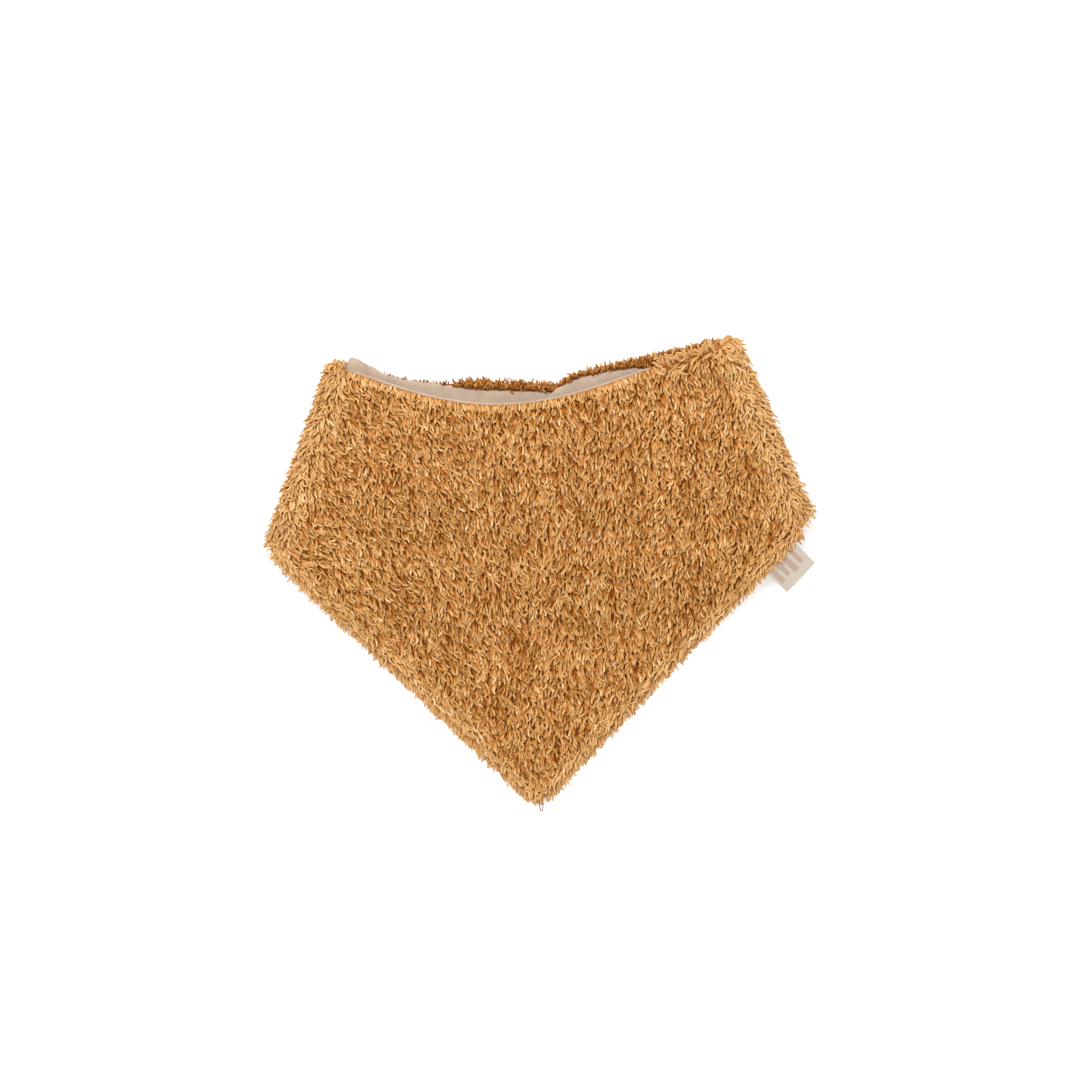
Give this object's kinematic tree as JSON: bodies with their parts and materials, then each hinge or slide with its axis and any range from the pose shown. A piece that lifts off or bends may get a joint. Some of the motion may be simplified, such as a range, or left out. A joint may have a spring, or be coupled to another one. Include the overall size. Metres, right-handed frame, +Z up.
{
  "type": "bandana bib",
  "caption": "Baby's triangular bandana bib in long-pile terry with a smooth lining, its straps folded behind and closed by a press stud.",
  "frame": {"origin": "centre of the bounding box of the closed bib, on the table under it", "axes": "+Z up out of the front face, +X to the right across the front, +Y from the tip towards the neck"},
  "size_m": [0.221, 0.1814, 0.0221],
  "materials": {
    "terry": "long looped pile, mustard ochre",
    "lining": "smooth fine jersey, warm beige",
    "binding": "turned and topstitched edge, warm beige",
    "interfacing": "non-woven, off-white, hidden",
    "press_stud": "moulded, satin, beige",
    "label": "woven tape, beige with a brown motif"
  },
  "bodies": {
    "front": {"front_terry": "terry", "front_lining": "lining", "front_hem_seam": "binding", "front_neck_seam": "binding", "side_label": "label", "left_fold_terry": "terry", "left_fold_lining": "lining", "right_fold_terry": "terry", "right_fold_lining": "lining"},
    "outer_strap": {"outer_strap_terry": "terry", "outer_strap_lining": "lining", "outer_strap_seam": "binding", "outer_strap_interfacing": "interfacing", "socket_cap": "press_stud", "socket": "press_stud"},
    "inner_strap": {"inner_strap_terry": "terry", "inner_strap_lining": "lining", "inner_strap_seam": "binding", "inner_strap_interfacing": "interfacing", "closing_stud_cap": "press_stud", "closing_stud": "press_stud", "spare_stud_cap": "press_stud", "spare_stud": "press_stud"}
  },
  "joints": [
    {"name": "outer_strap_fold", "type": "hinge", "parent": "front", "child": "outer_strap", "pos_m": [-0.10404, 0.00907, 0.0078], "axis": [0.3616, 0.9323, 0], "range_deg": [0, 180], "deforming": ["left_fold_terry", "left_fold_lining"]},
    {"name": "inner_strap_fold", "type": "hinge", "parent": "front", "child": "inner_strap", "pos_m": [0.10406, 0.01328, 0.0078], "axis": [0.3616, -0.9323, 0], "range_deg": [0, 180], "deforming": ["right_fold_terry", "right_fold_lining"]}
  ],
  "couplings": [
    {"joint": "inner_strap_fold", "follows": "outer_strap_fold", "ratio": 1}
  ]
}
